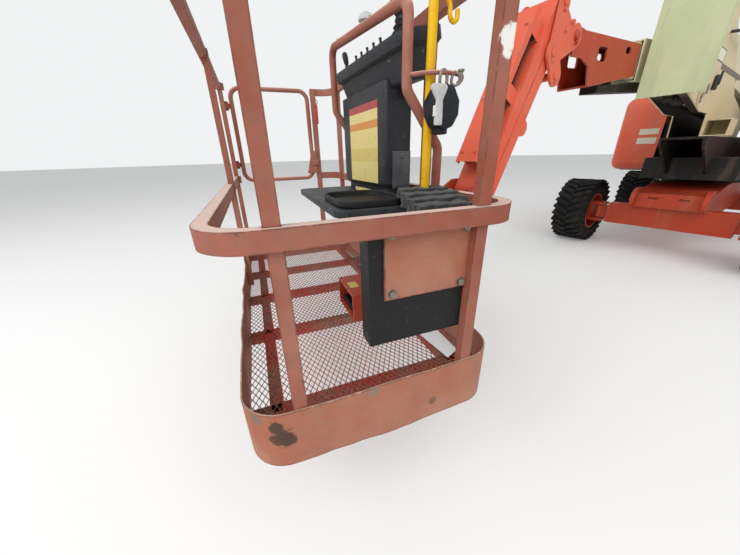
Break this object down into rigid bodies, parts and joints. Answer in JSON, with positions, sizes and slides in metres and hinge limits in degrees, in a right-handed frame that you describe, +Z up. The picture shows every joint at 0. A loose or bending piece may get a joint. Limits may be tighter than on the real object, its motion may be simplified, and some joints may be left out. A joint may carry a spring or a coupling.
{
  "type": "articulating boom lift",
  "caption": "Articulating boom lift on four rough-terrain wheels: tower boom, telescopic main boom, jib and a railed work platform with its control console.",
  "frame": {"origin": "on the ground, under the middle of the whole machine's box at rest", "axes": "+X forward from the turntable to the platform, +Y to the machine's left, +Z up"},
  "size_m": [7.7957, 2.5828, 2.4],
  "materials": {
    "orange": "worn satin paint",
    "salmon": "faded worn paint",
    "cream": "satin paint",
    "black_paint": "satin paint",
    "steel": "satin",
    "engine": "rough",
    "tyre": "dusty",
    "charcoal": "matte",
    "black_plastic": "matte",
    "yellow": "satin",
    "silver": "satin"
  },
  "bodies": {
    "chassis": {"chassis_frame": "orange", "front_axle": "orange", "rear_axle": "orange", "swing_bearing": "black_paint"},
    "knuckle_left": {"knuckle_left": "orange"},
    "knuckle_right": {"knuckle_right": "orange"},
    "tie_rod": {"tie_rod": "steel"},
    "wheel_front_left": {"tyre_front_left": "tyre", "rim_front_left": "orange"},
    "wheel_front_right": {"tyre_front_right": "tyre", "rim_front_right": "orange"},
    "wheel_rear_left": {"tyre_rear_left": "tyre", "rim_rear_left": "orange"},
    "wheel_rear_right": {"tyre_rear_right": "tyre", "rim_rear_right": "orange"},
    "turntable": {"turntable_frame": "black_paint", "counterweight": "orange", "engine_block": "engine", "hydraulic_tank": "black_paint", "tower_housing": "cream", "tower_cover": "cream"},
    "hood_left": {"hood_left": "orange"},
    "hood_right": {"hood_right": "orange"},
    "tower_boom": {"tower_boom": "cream"},
    "tower_link": {"tower_link": "cream"},
    "upright": {"upright": "orange"},
    "tower_barrel": {"tower_cylinder_barrel": "black_paint"},
    "tower_rod": {"tower_cylinder_rod": "steel"},
    "main_boom": {"main_boom": "cream"},
    "main_barrel": {"main_cylinder_barrel": "black_paint"},
    "main_rod": {"main_cylinder_rod": "steel"},
    "fly_boom": {"fly_boom": "cream", "boom_nose": "orange", "hose_tray": "black_paint"},
    "jib_head": {"jib_head": "orange"},
    "jib_lower_arm": {"jib_lower_arm": "orange"},
    "jib_upper_arm": {"jib_upper_arm": "orange", "jib_hose_guard": "orange"},
    "jib_barrel": {"jib_cylinder_barrel": "black_paint"},
    "jib_rod": {"jib_cylinder_rod": "steel"},
    "rotator": {"rotator_head": "orange"},
    "platform": {"platform_support": "salmon", "platform_floor": "salmon", "kick_plate": "salmon", "guard_rails": "salmon", "guard_rails_left": "salmon", "guard_rails_right": "salmon", "console_base": "charcoal", "console_head": "charcoal", "console_guard": "salmon", "storage_box": "black_plastic", "storage_plate": "salmon", "foot_switch": "orange", "lifeline_reel": "silver", "yellow_tube": "yellow"},
    "gate": {"gate": "salmon"}
  },
  "joints": [
    {"name": "steer_left", "type": "hinge", "parent": "chassis", "child": "knuckle_left", "pos_m": [-0.98087, 0.85637, 0.42], "axis": [0, 0, 1], "range_deg": [-35, 35]},
    {"name": "steer_right", "type": "hinge", "parent": "chassis", "child": "knuckle_right", "pos_m": [-0.98087, -0.50363, 0.42], "axis": [0, 0, 1], "range_deg": [-35, 35]},
    {"name": "tie_rod_pin", "type": "hinge", "parent": "knuckle_left", "child": "tie_rod", "pos_m": [-1.21087, 0.85637, 0.42], "axis": [0, 0, 1], "range_deg": [-35, 35]},
    {"name": "wheel_front_left_roll", "type": "hinge", "parent": "knuckle_left", "child": "wheel_front_left", "pos_m": [-0.98087, 1.09137, 0.42], "axis": [0, 1, 0], "continuous": true},
    {"name": "wheel_front_right_roll", "type": "hinge", "parent": "knuckle_right", "child": "wheel_front_right", "pos_m": [-0.98087, -0.73863, 0.42], "axis": [0, 1, 0], "continuous": true},
    {"name": "wheel_rear_left_roll", "type": "hinge", "parent": "chassis", "child": "wheel_rear_left", "pos_m": [-3.29487, 1.09137, 0.42], "axis": [0, 1, 0], "continuous": true},
    {"name": "wheel_rear_right_roll", "type": "hinge", "parent": "chassis", "child": "wheel_rear_right", "pos_m": [-3.29487, -0.73863, 0.42], "axis": [0, 1, 0], "continuous": true},
    {"name": "swing", "type": "hinge", "parent": "chassis", "child": "turntable", "pos_m": [-2.13787, 0.17637, 0.87], "axis": [0, 0, 1], "range_deg": [-177, 177]},
    {"name": "hood_left_hinge", "type": "hinge", "parent": "turntable", "child": "hood_left", "pos_m": [-2.13787, 0.62237, 1.83], "axis": [1, 0, 0], "range_deg": [0, 60]},
    {"name": "hood_right_hinge", "type": "hinge", "parent": "turntable", "child": "hood_right", "pos_m": [-2.13787, -0.26963, 1.83], "axis": [-1, 0, 0], "range_deg": [0, 60]},
    {"name": "tower_lift", "type": "hinge", "parent": "turntable", "child": "tower_boom", "pos_m": [0.16213, 0.17637, 2], "axis": [0, 1, 0], "range_deg": [0, 68]},
    {"name": "upright_level", "type": "hinge", "parent": "tower_boom", "child": "upright", "pos_m": [-3.58787, 0.17637, 1.8], "axis": [0, 1, 0], "range_deg": [-68, 0]},
    {"name": "tower_link_pivot", "type": "hinge", "parent": "turntable", "child": "tower_link", "pos_m": [0.01213, 0.17637, 1.67], "axis": [0, 1, 0], "range_deg": [0, 68]},
    {"name": "tower_barrel_pivot", "type": "hinge", "parent": "turntable", "child": "tower_barrel", "pos_m": [0.11213, 0.17637, 1.6], "axis": [0, 1, 0], "range_deg": [0, 55]},
    {"name": "tower_rod_slide", "type": "slide", "parent": "tower_barrel", "child": "tower_rod", "axis": [-0.9819, 0, 0.1893], "range_m": [0, 0.409]},
    {"name": "main_lift", "type": "hinge", "parent": "upright", "child": "main_boom", "pos_m": [-3.63787, -0.16863, 2.24], "axis": [0, -1, 0], "range_deg": [0, 77]},
    {"name": "main_barrel_pivot", "type": "hinge", "parent": "upright", "child": "main_barrel", "pos_m": [-3.63787, -0.16863, 1.6], "axis": [0, -1, 0], "range_deg": [0, 36]},
    {"name": "main_rod_slide", "type": "slide", "parent": "main_barrel", "child": "main_rod", "axis": [0.8043, 0, 0.5942], "range_m": [0, 0.536]},
    {"name": "telescope", "type": "slide", "parent": "main_boom", "child": "fly_boom", "axis": [0.9962, 0, -0.0872], "range_m": [-0.055, 1.3]},
    {"name": "jib_head_level", "type": "hinge", "parent": "fly_boom", "child": "jib_head", "pos_m": [1.62713, -0.16863, 1.86], "axis": [0, -1, 0], "range_deg": [-77, 0]},
    {"name": "jib_lift", "type": "hinge", "parent": "jib_head", "child": "jib_lower_arm", "pos_m": [1.85213, -0.16863, 1.745], "axis": [0, -1, 0], "range_deg": [0, 103]},
    {"name": "jib_upper_pivot", "type": "hinge", "parent": "jib_head", "child": "jib_upper_arm", "pos_m": [1.82113, -0.16863, 1.985], "axis": [0, -1, 0], "range_deg": [0, 103]},
    {"name": "jib_barrel_pivot", "type": "hinge", "parent": "jib_head", "child": "jib_barrel", "pos_m": [1.78213, -0.16863, 1.64], "axis": [0, -1, 0], "range_deg": [0, 94]},
    {"name": "jib_rod_slide", "type": "slide", "parent": "jib_barrel", "child": "jib_rod", "axis": [0.6165, 0, -0.7873], "range_m": [0, 0.197]},
    {"name": "rotator_level", "type": "hinge", "parent": "jib_lower_arm", "child": "rotator", "pos_m": [2.35152, -0.16863, 0.76489], "axis": [0, -1, 0], "range_deg": [-103, 0]},
    {"name": "platform_turn", "type": "hinge", "parent": "rotator", "child": "platform", "pos_m": [2.67213, -0.16863, 0.64], "axis": [0, 0, 1], "range_deg": [-76, 102]},
    {"name": "gate_hinge", "type": "hinge", "parent": "platform", "child": "gate", "pos_m": [3.46183, -1.27542, 1.356], "axis": [0, 0, -1], "range_deg": [0, 62]}
  ],
  "couplings": [
    {"joint": "steer_right", "follows": "steer_left", "ratio": 1},
    {"joint": "tie_rod_pin", "follows": "steer_left", "ratio": -1},
    {"joint": "upright_level", "follows": "tower_lift", "ratio": -1},
    {"joint": "tower_link_pivot", "follows": "tower_lift", "ratio": 1},
    {"joint": "tower_barrel_pivot", "follows": "tower_lift", "ratio": 0.80438},
    {"joint": "tower_rod_slide", "follows": "tower_lift", "m_per_rad": 0.34337},
    {"joint": "main_barrel_pivot", "follows": "main_lift", "ratio": 0.45954},
    {"joint": "main_rod_slide", "follows": "main_lift", "m_per_rad": 0.3975},
    {"joint": "jib_head_level", "follows": "main_lift", "ratio": -1},
    {"joint": "jib_upper_pivot", "follows": "jib_lift", "ratio": 1},
    {"joint": "jib_barrel_pivot", "follows": "jib_lift", "ratio": 0.90791},
    {"joint": "jib_rod_slide", "follows": "jib_lift", "m_per_rad": 0.10875},
    {"joint": "rotator_level", "follows": "jib_lift", "ratio": -1}
  ]
}
